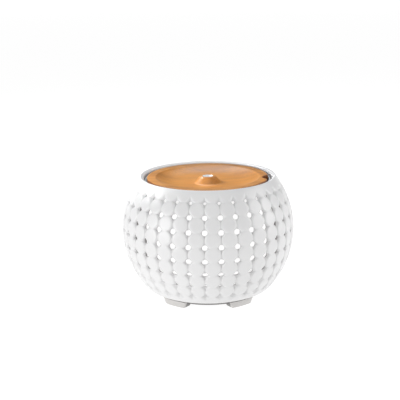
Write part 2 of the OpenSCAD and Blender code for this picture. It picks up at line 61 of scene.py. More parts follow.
BOWL_R = 80 * MM                       # the bowl's outer sphere
BOWL_Z = 63 * MM                       # its centre
WALL = 4.4 * MM
INNER_R = BOWL_R - WALL
MOUTH_R = 59.2 * MM
LIP_Z = bowl_hi.z
FLOOR_Z = bowl_lo.z
FLOOR_T = 3.5 * MM                     # thickness of the floor
FLOOR_HOLE_R = 40.2 * MM
FOOT_RIM_R = 52.8 * MM                 # the rim that the bowl ends in, above its feet
FOOT_RIM_H = 2.4 * MM
FOOT_TURN = 1.3 * MM                   # the sphere starts to turn in this far above the foot rim
FOOT_EDGE = 0.8 * MM                   # rounding at the foot rim's underside
FLOOR_HOLE_EDGE = 0.6 * MM             # the chamfer of the hole in the floor
LIP_SLOPE = math.atan2(1.3, 2.3)       # the lip falls inward at this angle
CREST_R = 0.9 * MM                     # rounding at the lip's outer edge
BORE_R = 1.0 * MM                      # rounding at its inner edge

COLUMNS = 34
COLUMN_STEP = TAU / COLUMNS
FIRST_COLUMN = math.radians(-90 - 2.3) # a column of holes stands a little left of the front
TOP_LAT = math.radians(31)             # latitude of the top row of holes
LAT_STEP = math.radians(9.44)
ROWS = 8                               # seven rows of holes and a row of dimples
# half width and half height of the hole in each row, in mm; the last row is blind
HOLES = [(1.15, 1.15), (2.2, 2.2), (2.35, 2.35), (2.35, 2.35),
         (2.4, 2.2), (2.2, 1.75), (1.05, 1.0), (0.2, 0.2)]
PAD_R = 7.7 * MM
PAD_DEPTH = 2.2 * MM                   # how far the ground between the pads lies below them
PAD_SHARPNESS = 14                     # how squarely a pad's edge turns down
PAD_FLATNESS = 0.6                     # 0 follows the sphere, 1 is a flat facet
FACET_R = 7.4 * MM                     # where a flattened pad is level with the sphere
FOLD_ACROSS = 0.15 * MM                # rounding of the upright grooves between pads
FOLD_ALONG = 0.35 * MM                 # rounding of the level grooves
DIMPLE_DEPTH = 0.85 * MM               # the blind row's dimples
DIMPLE_R = 0.75 * MM
RIM_BAND = np.radians([32.6, 35.4])    # latitudes between which the pads fade into a plain band
FOOT_BAND = np.radians([35.7, 38.4])   # the same below the equator
EDGE_R = 0.55 * MM                     # rounding at the mouth of a hole
HOLE_FLARE = 1.15 * MM                 # how much wider a hole is on the inside
SIDE = 14                              # points along one side of a cell
# where rings of points lie between a hole's edge (0) and its cell's border (1), outside and inside
SKIN_RINGS = [0, 0.015, 0.04, 0.08, 0.14, 0.24, 0.4, 0.65, 1]
INNER_RINGS = [0, 0.3, 1]
HOLE_STEPS = [0, 0.12, 0.5, 1]         # and down the hole, from the outer skin to the inner one

PANEL_LAT = math.radians(-26)          # where the control panel's middle is
PANEL_AZ = math.radians(90)
PANEL_W = 48.0 * MM                    # the opening in the ceramic
PANEL_H = 17.0 * MM
PANEL_MARGIN = (1.5 * MM, 5.5 * MM)    # the pads fade in between these distances from the opening
# the same rings and steps for the plain patch round the opening
PATCH_RINGS = [0, 0.012, 0.03, 0.06, 0.12, 0.22, 0.34, 0.46, 0.58, 0.7, 0.8, 0.9, 1]
PATCH_INNER_RINGS = [0, 0.5, 1]
PATCH_STEPS = [0, 0.15, 0.5, 1]
WINDOW_AZ = math.radians(26)           # half sizes of the field without piercings
WINDOW_LAT = math.radians(16)

LID_R = 56.1 * MM
LID_TOP = 112.0 * MM
LID_BOTTOM = lid_lo.z
DISH_R = 48.6 * MM
DISH_DEPTH = 6.0 * MM
CHIMNEY_BASE_R = 12.5 * MM
CHIMNEY_TOP_R = 7.4 * MM
CHIMNEY_Z = lid_hi.z
CHIMNEY_HOLE_R = 4.7 * MM
NOTCH_AZ = math.radians(-6)
NOTCH_R = 10.3 * MM
NOTCH_DEPTH = 5.6 * MM
NOTCH_X = LID_R - NOTCH_DEPTH + NOTCH_R
NOTCH_SPAN = 12                        # degrees either side of it with closer points
LID_EDGE_R = 0.5 * MM                  # rounding of the top edge and of the notch's corners
LIP_RUN = 0.7 * MM                     # width of the softened lip round the dish
FLARE_RUN = 2.2 * MM                   # the chimney's flare reaches this far into the dish
CHIMNEY_EDGE_R = 0.5 * MM              # rounding of the chimney's top, outside
CHIMNEY_BORE_R = 0.45 * MM             # and at its bore

# ---------------------------------------------------------------- mesh helpers


def piece(name, verts, faces, material, body, stands_for):
    """A mesh object that rides on a body and takes a record slot's finish."""
    mesh = bpy.data.meshes.new(name)
    mesh.from_pydata([tuple(v) for v in verts], [], [tuple(f) for f in faces])
    mesh.validate()
    mesh.update()
    obj = bpy.data.objects.new(name, mesh)
    bpy.context.scene.collection.objects.link(obj)
    finish_piece(obj, material, body, stands_for)


def finish_piece(obj, material, body, stands_for):
    """Sets a piece's material, smooth shading, body, and the CAD nodes it stands for."""
    obj.data.materials.clear()
    obj.data.materials.append(material)
    obj.data.polygons.foreach_set("use_smooth", [True] * len(obj.data.polygons))
    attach(obj, body)
    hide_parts(*stands_for)


class Sheet:
    """Collects vertices and faces, then joins vertices that lie on the same point."""

    def __init__(self):
        self.points = []
        self.faces = []
        self.count = 0

    def add(self, points):
        """Adds a block of points and returns the index of each, in the block's own shape."""
        points = np.asarray(points, float)
        flat = points.reshape(-1, 3)
        index = np.arange(len(flat)).reshape(points.shape[:-1]) + self.count
        self.points.append(flat)
        self.count += len(flat)
        return index

    def quads(self, index, flip=False):
        """Faces between the rows of an index grid; each row is a closed loop."""
        a, b = index[:-1], index[1:]
        f = np.stack([a, np.roll(a, -1, 1), np.roll(b, -1, 1), b], -1).reshape(-1, 4)
        self.faces.append(f[:, ::-1] if flip else f)

    def cap(self, loop, flip=False):
        """One face across a loop."""
        self.faces.append(np.array([loop[::-1] if flip else loop]))

    def build(self):
        """The vertices and faces, without faces that have shrunk to a line."""
        points = np.concatenate(self.points)
        key = np.round(points / (0.002 * MM)).astype(np.int64)
        _, first, inverse = np.unique(key, axis=0, return_index=True, return_inverse=True)
        inverse = inverse.reshape(-1)
        faces = []
        for block in self.faces:
            for f in inverse[block].tolist():
                ring = [v for i, v in enumerate(f) if v != f[i - 1]]
                if len(set(ring)) > 2:
                    faces.append(ring)
        return points[first], faces


def sphere_point(az, lat, r):
    """Points at azimuth and latitude on a sphere of radius r about the bowl's centre."""
    az, lat, r = np.broadcast_arrays(az, lat, r)
    flat = r * np.cos(lat)
    return np.stack([flat * np.cos(az), flat * np.sin(az), BOWL_Z + r * np.sin(lat)], -1)


def smoothstep(x, low, high):
    """Rises smoothly from 0 at low to 1 at high."""
    t = np.clip((x - low) / (high - low), 0, 1)
    return t * t * (3 - 2 * t)


def arc(cx, cz, r, start, end, steps):
    """Points of an arc in the (radius, height) plane, angles in degrees."""
    return [(cx + r * math.cos(math.radians(start + (end - start) * i / steps)),
             cz + r * math.sin(math.radians(start + (end - start) * i / steps)))
            for i in range(steps + 1)]


def curve(start, knee, end, steps):
    """Points of a quadratic curve in the (radius, height) plane."""
    a, b, c = (np.asarray(p, float) for p in (start, knee, end))
    return [tuple(a * (1 - t) ** 2 + b * 2 * t * (1 - t) + c * t ** 2)
            for t in np.linspace(0, 1, steps + 1)]


def lathe_points(profile, azimuths):
    """A grid of points: profile rows of (radius, height) turned through the azimuths."""
    prof = np.array(profile)
    az = np.asarray(azimuths)
    return np.stack([prof[:, :1] * np.cos(az), prof[:, :1] * np.sin(az),
                     np.repeat(prof[:, 1:], len(az), 1)], -1)


# ---------------------------------------------------------------- panel frame at the back

PANEL_N = np.array([0, math.cos(PANEL_LAT), math.sin(PANEL_LAT)])      # outward
PANEL_Y = np.array([-1.0, 0, 0])                                       # along its width
PANEL_UP = np.array([0, -math.sin(PANEL_LAT), math.cos(PANEL_LAT)])
PANEL_O = np.array([0, 0, BOWL_Z])


def panel_coords(points):
    """(along the width, up) of points, measured on the control panel."""
    rel = points - PANEL_O
    return rel @ PANEL_Y, rel @ PANEL_UP


def slab_distance(y, z, w, h):
    """Signed distance from a slab w wide and h high with round ends; negative inside."""
    straight = (w - h) / 2
    return np.hypot(np.maximum(np.abs(y) - straight, 0), z) - h / 2


# ---------------------------------------------------------------- quilted ceramic bowl

def row_lat(k):
    """Latitude of a row of holes, counted from the top."""
    return TOP_LAT - k * LAT_STEP


def column_az(i):
    """Azimuth of a column of holes."""
    return FIRST_COLUMN + i * COLUMN_STEP


def in_window(i, k):
    """True where the control panel takes the place of the piercings."""
    gap = (column_az(i) - PANEL_AZ + math.pi) % TAU - math.pi
    return abs(gap) < WINDOW_AZ and abs(row_lat(k) - PANEL_LAT) < WINDOW_LAT


def relief(az, lat):
    """Depth of the surface below the sphere: round pads that meet in soft grooves."""
    col = (az - FIRST_COLUMN) / COLUMN_STEP - 0.5
    row = (TOP_LAT - lat) / LAT_STEP - 0.5
    pitch_u = BOWL_R * np.cos(lat) * COLUMN_STEP
    pitch_v = BOWL_R * LAT_STEP
    u = (col - np.round(col)) * pitch_u
    v = (row - np.round(row)) * pitch_v
    # the fold between two pads is rounded where the glaze has pooled
    u = pitch_u / 2 - np.hypot(pitch_u / 2 - np.abs(u), FOLD_ACROSS)
    v = pitch_v / 2 - np.hypot(pitch_v / 2 - np.abs(v), FOLD_ALONG)
    # pads are a little narrower towards the poles, like the columns
    reach = np.hypot(u / np.cos(lat) ** 0.7, v)
    rise = (reach / PAD_R) ** PAD_SHARPNESS
    depth = PAD_DEPTH * rise / (1 + rise ** 3) ** (1 / 3)
    depth = depth + PAD_FLATNESS * (FACET_R ** 2 - reach ** 2) / (2 * BOWL_R)
    # plain bands at the rim and at the foot
    depth = depth * (1 - smoothstep(lat, *RIM_BAND)) * (1 - smoothstep(-lat, *FOOT_BAND))
    # a plain margin round the control panel
    points = sphere_point(az, lat, BOWL_R)
    y, z = panel_coords(points)
    off = slab_distance(y, z, PANEL_W, PANEL_H)
    near = np.where(points[..., 1] > 0, 1 - smoothstep(off, *PANEL_MARGIN), 0)
    return depth * (1 - near)


def side_steps():
    """From -1 to 1 along a side, closer together near its middle, where a groove crosses."""
    t = np.linspace(-1, 1, SIDE + 1)
    return np.sign(t) * np.abs(t) ** 1.6


def cell_border():
    """The points round a cell, (s, t) from -1 to 1, anticlockwise seen from outside."""
    t = side_steps()[:-1]
    one = np.ones(SIDE)
    return np.concatenate([np.stack([t, -one], -1), np.stack([one, t], -1),
                           np.stack([-t, one], -1), np.stack([-one, -t], -1)])


def hole_cell(sheet, i, k):
    """One cell: the outer skin round a hole, the hole's wall and the inner skin."""
    az0, lat0 = column_az(i), row_lat(k)
    half_u = BOWL_R * math.cos(lat0) * COLUMN_STEP / 2
    half_v = BOWL_R * LAT_STEP / 2
    a, b = HOLES[k][0] * MM, HOLES[k][1] * MM
    mean_r = math.sqrt(a * b)
    blind = k == ROWS - 1
    border = cell_border()
    x, y = border[:, 0] * half_u, border[:, 1] * half_v
    way = np.arctan2(y, x)
    scale = 1 / np.hypot(np.cos(way) / a, np.sin(way) / b)
    hx, hy = scale * np.cos(way), scale * np.sin(way)

    def ring(q, flare=1.0):
        q = np.asarray(q)[:, None]
        return hx * flare + (x - hx * flare) * q, hy * flare + (y - hy * flare) * q

    def on_cell(x, y):
        return az0 + x / half_u * COLUMN_STEP / 2, lat0 + y / half_v * LAT_STEP / 2

    # outer skin
    rx, ry = ring(SKIN_RINGS)
    az, lat = on_cell(rx, ry)
    depth = relief(az, lat)
    if blind:
        depth = depth + DIMPLE_DEPTH * np.exp(-(np.hypot(rx, ry) / DIMPLE_R) ** 2)
    else:
        gap = (np.hypot(rx / a, ry / b) - 1) * mean_r
        away = np.clip(EDGE_R - gap, 0, EDGE_R)
        depth = depth + EDGE_R - np.sqrt(EDGE_R ** 2 - away ** 2)
    outer = sheet.add(sphere_point(az, lat, BOWL_R - depth))
    sheet.quads(outer, flip=True)
    if blind:
        sheet.cap(outer[0])
    # inner skin
    rx, ry = ring([0, 1]) if blind else ring(INNER_RINGS, 1 + HOLE_FLARE / mean_r)
    az_in, lat_in = on_cell(rx, ry)
    inner = sheet.add(sphere_point(az_in, lat_in, INNER_R))
    sheet.quads(inner)
    if blind:
        sheet.cap(inner[0], flip=True)
        return
    # wall of the hole
    top = BOWL_R - depth[0]
    steps = np.array(HOLE_STEPS)[:, None]
    wall_az = az[0] + (az_in[0] - az[0]) * steps
    wall_lat = lat[0] + (lat_in[0] - lat[0]) * steps
    sheet.quads(sheet.add(sphere_point(wall_az, wall_lat, top + (INNER_R - top) * steps)))


def panel_patch(sheet):
    """The plain patch round the control panel's opening, and the opening's wall."""
    cols = [i for i in range(COLUMNS) if in_window(i, ROWS - 1)]
    rows = [k for k in range(ROWS) if in_window(cols[0], k)]
    t = side_steps()[:-1]
    az_lo = column_az(cols[0]) - COLUMN_STEP / 2
    az_hi = column_az(cols[-1]) + COLUMN_STEP / 2
    lat_hi = row_lat(rows[0]) + LAT_STEP / 2
    lat_lo = row_lat(rows[-1]) - LAT_STEP / 2
    az_run = np.concatenate([column_az(i) + t * COLUMN_STEP / 2 for i in cols])
    lat_run = np.concatenate([row_lat(k) + t * LAT_STEP / 2 for k in rows[::-1]])
    az_back = np.concatenate([column_az(i) - t * COLUMN_STEP / 2 for i in cols[::-1]])
    lat_back = np.concatenate([row_lat(k) - t * LAT_STEP / 2 for k in rows])
    az = np.concatenate([az_run, np.full(len(lat_run), az_hi),
                         az_back, np.full(len(lat_back), az_lo)])
    lat = np.concatenate([np.full(len(az_run), lat_lo), lat_run,
                          np.full(len(az_back), lat_hi), lat_back])

    y, z = panel_coords(sphere_point(az, lat, BOWL_R))
    # where the line from the panel's middle to each border point leaves the opening
    low, high = np.zeros(len(y)), np.ones(len(y))
    for _ in range(40):
        mid = (low + high) / 2
        inside = slab_distance(y * mid, z * mid, PANEL_W, PANEL_H) < 0
        low, high = np.where(inside, mid, low), np.where(inside, high, mid)
    hy, hz = y * low, z * low

    def skin(radius, rings, flip, shape):
        """Adds the rings between the opening (0) and the patch's border (1) on a sphere."""
        grid = []
        for q in rings:
            py, pz = hy + (y - hy) * q, hz + (z - hz) * q
            reach = np.sqrt(BOWL_R ** 2 - py ** 2 - pz ** 2)
            p = reach[:, None] * PANEL_N + py[:, None] * PANEL_Y + pz[:, None] * PANEL_UP
            p_az = np.where(q == 1, az, np.arctan2(p[:, 1], p[:, 0]))
            p_lat = np.where(q == 1, lat, np.arcsin(p[:, 2] / BOWL_R))
            grid.append(sphere_point(p_az, p_lat, radius - shape(p_az, p_lat, py, pz)))
        sheet.quads(sheet.add(grid), flip=flip)
        return grid

    def outer_shape(p_az, p_lat, py, pz):
        away = np.clip(EDGE_R - slab_distance(py, pz, PANEL_W, PANEL_H), 0, EDGE_R)
        return relief(p_az, p_lat) + EDGE_R - np.sqrt(EDGE_R ** 2 - away ** 2)

    outer = skin(BOWL_R, PATCH_RINGS, True, outer_shape)
    inner = skin(INNER_R, PATCH_INNER_RINGS, False, lambda *_: 0)
    wall = np.array([outer[0] + (inner[0] - outer[0]) * f for f in PATCH_STEPS])
    sheet.quads(sheet.add(wall))


def bowl_rim(sheet, az):
    """From the top row of cells over the lip and down inside; then the foot rim and floor."""
    edge = row_lat(0) + LAT_STEP / 2
    slope = math.degrees(LIP_SLOPE)
    top = math.asin((LIP_Z - BOWL_Z - CREST_R) / (BOWL_R - CREST_R))
    crest_x = (BOWL_R - CREST_R) * math.cos(top)
    crest = arc(crest_x, LIP_Z - CREST_R, CREST_R, math.degrees(top), 90 + slope, 7)
    bore = arc(MOUTH_R + BORE_R, 0, BORE_R, 90 + slope, 180, 5)
    drop = crest[-1][1] - (crest[-1][0] - bore[0][0]) * math.tan(LIP_SLOPE) - bore[0][1]

    def on_sphere(r, a):
        return r * math.cos(a), BOWL_Z + r * math.sin(a)

    profile = [on_sphere(BOWL_R, edge + (top - edge) * f) for f in (0, 0.35, 0.7, 0.92)]
    profile += crest + [(r, z + drop) for r, z in bore]
    profile += [on_sphere(INNER_R, math.acos(MOUTH_R / INNER_R)), on_sphere(INNER_R, edge)]
    sheet.quads(sheet.add(lathe_points(profile, az)))

    low = row_lat(ROWS - 1) - LAT_STEP / 2
    turn_z = FLOOR_Z + FOOT_RIM_H
    corner = np.array([math.sqrt(BOWL_R ** 2 - (BOWL_Z - turn_z) ** 2), turn_z])
    start = -math.asin((BOWL_Z - turn_z - FOOT_TURN) / BOWL_R)
    inner = np.array([FOOT_RIM_R, FLOOR_Z])
    profile = [on_sphere(BOWL_R, low + (start - low) * f) for f in (0, 0.25, 0.5, 0.75)]
    profile += curve(on_sphere(BOWL_R, start), corner, corner + 0.35 * (inner - corner), 5)
    profile += curve(inner + 0.14 * (corner - inner), inner, inner - (FOOT_EDGE, 0), 4)
    profile += [(FLOOR_HOLE_R + FLOOR_HOLE_EDGE, FLOOR_Z),
                (FLOOR_HOLE_R, FLOOR_Z + FLOOR_HOLE_EDGE),
                (FLOOR_HOLE_R, FLOOR_Z + FLOOR_T - FLOOR_HOLE_EDGE),
                (FLOOR_HOLE_R + FLOOR_HOLE_EDGE, FLOOR_Z + FLOOR_T)]
    floor_lat = math.asin((FLOOR_Z + FLOOR_T - BOWL_Z) / INNER_R)
    profile += [on_sphere(INNER_R, floor_lat), on_sphere(INNER_R, low)]
    sheet.quads(sheet.add(lathe_points(profile, az)), flip=True)


def make_bowl(material):
    """The bowl's cells, its patch round the control panel, its lip and its foot."""
    sheet = Sheet()
    for k in range(ROWS):
        for i in range(COLUMNS):
            if not in_window(i, k):
                hole_cell(sheet, i, k)
    panel_patch(sheet)
    az = np.concatenate([column_az(i) + side_steps()[:-1] * COLUMN_STEP / 2 for i in range(COLUMNS)])
    bowl_rim(sheet, az)
    verts, faces = sheet.build()
    piece("quilted_bowl", verts, faces, material, "housing", ["ceramic_bowl"])


# ---------------------------------------------------------------- wooden lid

def lid_edge(az):
    """Distance from the axis to the lid's edge, with the finger notch's corners rounded."""
    turn = (az - NOTCH_AZ + math.pi) % TAU - math.pi
    reach = NOTCH_R ** 2 - (NOTCH_X * np.sin(turn)) ** 2
    notch = NOTCH_X * np.cos(turn) - np.sqrt(np.maximum(reach, 0))
    notch = np.where((reach > 0) & (np.cos(turn) > 0), notch, NOTCH_X)
    low, high = np.minimum(notch, LID_R), np.maximum(notch, LID_R)
    gap = (high - low) / LID_EDGE_R    # past 8 there is no corner near
    return low - LID_EDGE_R * np.log1p(np.exp(-gap)) * (gap < 8)


def dish_height(r):
    """Height of the dish's surface at a distance from the axis."""
    t = (r - CHIMNEY_BASE_R) / (DISH_R - CHIMNEY_BASE_R)
    return LID_TOP - DISH_DEPTH * np.cos(np.pi / 2 * np.clip(t, 0, 1) ** 2)


def make_lid(material):
    """The lid as rings, each a distance from the axis at every azimuth, and a height."""
    turn = math.degrees(NOTCH_AZ)
    start, end = turn - NOTCH_SPAN, turn + NOTCH_SPAN
    az = np.radians(np.concatenate([np.arange(end, start + 360, 1.5), np.arange(start, end, 0.3)]))
    edge = lid_edge(az)
    full = np.ones(len(az))
    rings = []
    # underside, then the outer wall and the rounded top edge, which follow the edge's outline
    rings.append((CHIMNEY_HOLE_R * full, LID_BOTTOM))
    rings.append((40 * MM * full, LID_BOTTOM))
    for inset, up in ((0.6, 0), (0.2, 0.2), (0, 0.6), (0, 3.5)):
        rings.append((edge - inset * MM, LID_BOTTOM + up * MM))
    for a in np.radians([0, 18, 36, 54, 72, 90]):
        rings.append((edge - LID_EDGE_R * (1 - math.cos(a)), LID_TOP - LID_EDGE_R * (1 - math.sin(a))))
    # flat annulus, blending from the edge's outline to true circles
    for f in (0.5, 1):
        rings.append(((edge - LID_EDGE_R) * (1 - f) + (DISH_R + LIP_RUN) * f, LID_TOP))
    # the lip of the dish, softened
    for off in (0.35, 0.1, -0.2, -0.6):
        r = DISH_R + off * MM
        rings.append((r * full, LID_TOP - 0.02 * MM - max(0, 0.35 - off) ** 2 * 0.13 * MM))
    flare_r = CHIMNEY_BASE_R + FLARE_RUN
    for r in np.linspace(DISH_R - 1.2 * MM, flare_r, 22):
        rings.append((r * full, float(dish_height(r))))
    # the chimney flares out of the dish and ends in a small flat top
    top = np.array([CHIMNEY_TOP_R + 0.15 * MM, CHIMNEY_Z - CHIMNEY_EDGE_R])
    knee = np.array([CHIMNEY_BASE_R + 0.1 * MM, LID_TOP - DISH_DEPTH + 0.1 * MM])
    foot = np.array([flare_r, float(dish_height(flare_r))])
    chimney = curve(foot, knee, knee + 0.2 * (top - knee), 6)[1:]
    chimney += [tuple(knee + f * (top - knee)) for f in (0.5, 0.8, 1)]
    chimney += arc(CHIMNEY_TOP_R - 0.4 * MM, CHIMNEY_Z - CHIMNEY_EDGE_R, CHIMNEY_EDGE_R, 20, 90, 4)
    chimney += arc(CHIMNEY_HOLE_R + CHIMNEY_BORE_R, CHIMNEY_Z - CHIMNEY_BORE_R, CHIMNEY_BORE_R, 90, 180, 4)
    chimney.append((CHIMNEY_HOLE_R, LID_BOTTOM))
    for r, z in chimney:
        rings.append((r * full, z))

    points = np.array([np.stack([r * np.cos(az), r * np.sin(az), z * full], -1) for r, z in rings])
    sheet = Sheet()
    sheet.quads(sheet.add(points))
    verts, faces = sheet.build()
    piece("turned_lid", verts, faces, material, "lid", ["wood_lid"])


# ---------------------------------------------------------------- moulded parts, edges rounded

def soften(node, name, width, segments=2):
    """A copy of a CAD node with rounded edges, standing for it."""
    mesh = nodes[node].data.copy()
    obj = bpy.data.objects.new(name, mesh)
    bpy.context.scene.collection.objects.link(obj)
    bm = bmesh.new()
    bm.from_mesh(mesh)
    bmesh.ops.remove_doubles(bm, verts=bm.verts, dist=0.001 * MM)
    bmesh.ops.dissolve_limit(bm, angle_limit=math.radians(0.6), verts=bm.verts, edges=bm.edges)
    bm.to_mesh(mesh)
    bm.free()
    bevel = obj.modifiers.new("round", "BEVEL")
    bevel.width = width
    bevel.segments = segments
    bevel.limit_method = "ANGLE"
    bevel.angle_limit = math.radians(40)
    bevel.miter_outer = "MITER_ARC"
    graph = bpy.context.evaluated_depsgraph_get()
    rounded = bpy.data.meshes.new_from_object(obj.evaluated_get(graph))
    obj.modifiers.clear()
    obj.data = rounded
    finish_piece(obj, materials[slot_of[node]], body_of[node], [node])
    obj.modifiers.new("shade", "WEIGHTED_NORMAL").keep_sharp = True


# ---------------------------------------------------------------- materials

class Nodes:
    """A short way to write a Principled material's nodes."""

    def __init__(self, name, base, roughness, metallic=0.0, **inputs):
        self.mat = bpy.data.materials.new(name)
        self.mat.use_nodes = True
        self.tree = self.mat.node_tree
        self.shader = self.tree.nodes["Principled BSDF"]
        self.set(self.shader, {"Base Color": (*base, 1), "Roughness": roughness,
                               "Metallic": metallic, **inputs})
        self.place = self.new("ShaderNodeTexCoord").outputs["Object"]

    def new(self, kind, **inputs):
        node = self.tree.nodes.new(kind)
        self.set(node, inputs)
        return node

    def set(self, node, inputs):
        """Gives a node's sockets their values; an underscore in a key stands for a space."""
        for key, value in inputs.items():
            node.inputs[key.replace("_", " ") if key not in node.inputs else key].default_value = value

    def link(self, source, target):
        self.tree.links.new(source, target)

    def mapped(self, scale):
        """The shaded point, stretched along the axes."""
        node = self.new("ShaderNodeMapping", Scale=scale)
        self.link(self.place, node.inputs["Vector"])
        return node.outputs["Vector"]

    def noise(self, scale, detail=3.0, roughness=0.5, where=None, distortion=0.0):
        node = self.new("ShaderNodeTexNoise", Scale=scale, Detail=detail, Roughness=roughness,
                        Distortion=distortion)
        self.link(where or self.place, node.inputs["Vector"])
        return node.outputs["Fac"]

    def ramp(self, fac, stops):
        """A colour ramp through (position, colour) stops."""
        node = self.new("ShaderNodeValToRGB")
        marks = node.color_ramp.elements
        while len(marks) < len(stops):
            marks.new(0.5)
        for mark, (at, colour) in zip(marks, stops):
            mark.position = at
            mark.color = (*colour, 1)
        self.link(fac, node.inputs["Fac"])
        return node.outputs["Color"]

    def spread(self, fac, low, high, from_low=0.3, from_high=0.7):
        """Takes values from one range to another, without going past its ends."""
        node = self.new("ShaderNodeMapRange")
        self.set(node, {"From Min": from_low, "From Max": from_high, "To Min": low, "To Max": high})
        self.link(fac, node.inputs["Value"])
        return node.outputs["Result"]

    def mix(self, fac, a, b):
        """A colour between a and b, each a socket or a plain value."""
        node = self.new("ShaderNodeMix")
        node.data_type = "RGBA"
        for source, socket in ((fac, node.inputs[0]), (a, node.inputs[6]), (b, node.inputs[7])):
            if isinstance(source, bpy.types.NodeSocket):
                self.link(source, socket)
            else:
                socket.default_value = source if not isinstance(source, tuple) else (*source, 1)
        return node.outputs[2]

    def product(self, a, b):
        node = self.new("ShaderNodeMath")
        node.operation = "MULTIPLY"
        self.link(a, node.inputs[0])
        self.link(b, node.inputs[1])
        return node.outputs[0]

    def cylinder(self):
        """The distance from the vertical axis, and the height, of the shaded point."""
        parts = self.new("ShaderNodeSeparateXYZ")
        self.link(self.place, parts.inputs[0])
        flat = self.new("ShaderNodeCombineXYZ")
        self.link(parts.outputs[0], flat.inputs[0])
        self.link(parts.outputs[1], flat.inputs[1])
        reach = self.new("ShaderNodeVectorMath")
        reach.operation = "LENGTH"
        self.link(flat.outputs[0], reach.inputs[0])
        return reach.outputs["Value"], parts.outputs[2]

    def colour(self, source):
        self.link(source, self.shader.inputs["Base Color"])

    def roughness(self, source):
        self.link(source, self.shader.inputs["Roughness"])

    def bump(self, height, strength, distance):
        node = self.new("ShaderNodeBump", Strength=strength, Distance=distance)
        self.link(height, node.inputs["Height"])
        self.link(node.outputs["Normal"], self.shader.inputs["Normal"])


def shade(colour, by):
    """A colour made lighter or darker."""
    return tuple(max(0.0, min(1.0, c * by)) for c in colour)


def moulded(name, base, roughness, vary=0.04, bump=0.12):
    """Plastic or rubber: a faint mottle, a rough-smooth variation and a fine skin."""
    n = Nodes(name, base, roughness)
    slow = n.noise(60, 2)
    n.colour(n.ramp(slow, [(0.3, shade(base, 1 - vary)), (0.7, shade(base, 1 + vary))]))
    fine = n.noise(900, 4, 0.6)
    n.roughness(n.spread(fine, max(0, roughness - 0.06), roughness + 0.06))
    n.bump(fine, bump, 0.05 * MM)
    return n.mat


def glaze():
    """White satin glaze: faint cloudiness, a wavy gloss and fine pitting; painted shade inside the wall,
    seen through the holes.
    """
    base = (0.738, 0.735, 0.735)
    n = Nodes("glaze", base, 0.32, **{"Coat Weight": 0.4, "Coat Roughness": 0.35, "IOR": 1.5})
    cloud = n.noise(35, 3, 0.55)
    skin = n.ramp(cloud, [(0.3, (0.732, 0.728, 0.729)), (0.7, (0.743, 0.741, 0.741))])
    # painted shade: dark within the inner part of the wall, measured from the bowl's centre, but not under
    # the lip
    reach = n.new("ShaderNodeVectorMath")
    reach.operation = "DISTANCE"
    n.link(n.place, reach.inputs[0])
    reach.inputs[1].default_value = (0, 0, BOWL_Z)
    hole_shade = n.spread(reach.outputs["Value"], 1, 0, INNER_R + 1.35 * MM, INNER_R + 1.75 * MM)
    below_lip = n.spread(n.cylinder()[1], 1, 0, LIP_Z - 7 * MM, LIP_Z - 6 * MM)
    n.colour(n.mix(n.product(hole_shade, below_lip), skin, (0.17, 0.16, 0.155)))
    n.roughness(n.spread(n.noise(160, 3), 0.3, 0.35))
    n.bump(n.noise(420, 2, 0.4), 0.03, 0.05 * MM)
    return n.mat


def wood():
    """Straight-grained orange-tan wood: growth bands and fibres along X, small pores."""
    n = Nodes("lid_wood", (0.59, 0.22, 0.035), 0.32, **{"Specular IOR Level": 0.65})
    bands = n.noise(9, 3, 0.5, n.mapped((1.6, 14, 6)), 0.35)
    fibre = n.noise(60, 5, 0.65, n.mapped((1.5, 22, 22)))
    pores = n.noise(520, 3, 0.7, n.mapped((0.35, 2.4, 2.4)))
    tone = n.ramp(bands, [(0.34, (0.33, 0.122, 0.019)), (0.50, (0.51, 0.208, 0.034)),
                          (0.66, (0.67, 0.295, 0.055))])
    streak = n.ramp(fibre, [(0.38, (0.28, 0.10, 0.014)), (0.60, (0.62, 0.265, 0.046))])
    both = n.mix(0.45, tone, streak)
    dark = n.ramp(pores, [(0.30, (0.31, 0.10, 0.015)), (0.42, (0.59, 0.24, 0.036))])
    face = n.mix(0.16, both, dark)
    # painted shade: the lid's side and underside are painted dark brown for the shadow they lie in; the
    # chimney's bore is sealed white
    reach, height = n.cylinder()
    outside = n.spread(reach, 0, 1, DISH_R + 0.8 * MM, DISH_R + 1.2 * MM)
    low = n.spread(height, 1, 0, LID_TOP - 0.4 * MM, LID_TOP - 0.15 * MM)
    bore = n.spread(reach, 1, 0, CHIMNEY_HOLE_R + 0.1 * MM, CHIMNEY_HOLE_R + 0.25 * MM)
    side_shade = n.mix(n.product(outside, low), face, (0.23, 0.072, 0.014))
    n.colour(n.mix(bore, side_shade, (0.66, 0.68, 0.70)))
    n.roughness(n.spread(fibre, 0.33, 0.43))
    n.bump(fibre, 0.18, 0.08 * MM)
    return n.mat


def footed():
    """Off-white plastic: pale feet, and painted shade on the plate set back under the bowl."""
    base = (0.58, 0.565, 0.55)
    n = Nodes("base_plastic", base, 0.42)
    feet = n.ramp(n.noise(60, 2), [(0.3, shade(base, 0.985)), (0.7, shade(base, 1.015))])
    reach, _ = n.cylinder()
    # painted shade: the plate set back under the bowl is darkened to 0.42 of the base colour
    inner = n.spread(reach, 1, 0, FOOT_RIM_R - 2.6 * MM, FOOT_RIM_R - 2.1 * MM)
    n.colour(n.mix(inner, feet, shade(base, 0.42)))
    fine = n.noise(900, 4, 0.6)
    n.roughness(n.spread(fine, 0.36, 0.48))
    n.bump(fine, 0.12, 0.05 * MM)
    return n.mat


def lit_plastic(name, base, glow, strength, roughness=0.35):
    """Milky plastic with light behind it."""
    glowing = {"Emission Color": (*glow, 1), "Emission Strength": strength}
    n = Nodes(name, base, roughness, **glowing)
    cloud = n.noise(40, 2)
    n.colour(n.ramp(cloud, [(0.3, shade(base, 0.97)), (0.7, base)]))
    n.roughness(n.spread(n.noise(500, 3), roughness - 0.05, roughness + 0.05))
    n.bump(n.noise(700, 2), 0.05, 0.05 * MM)
    return n.mat


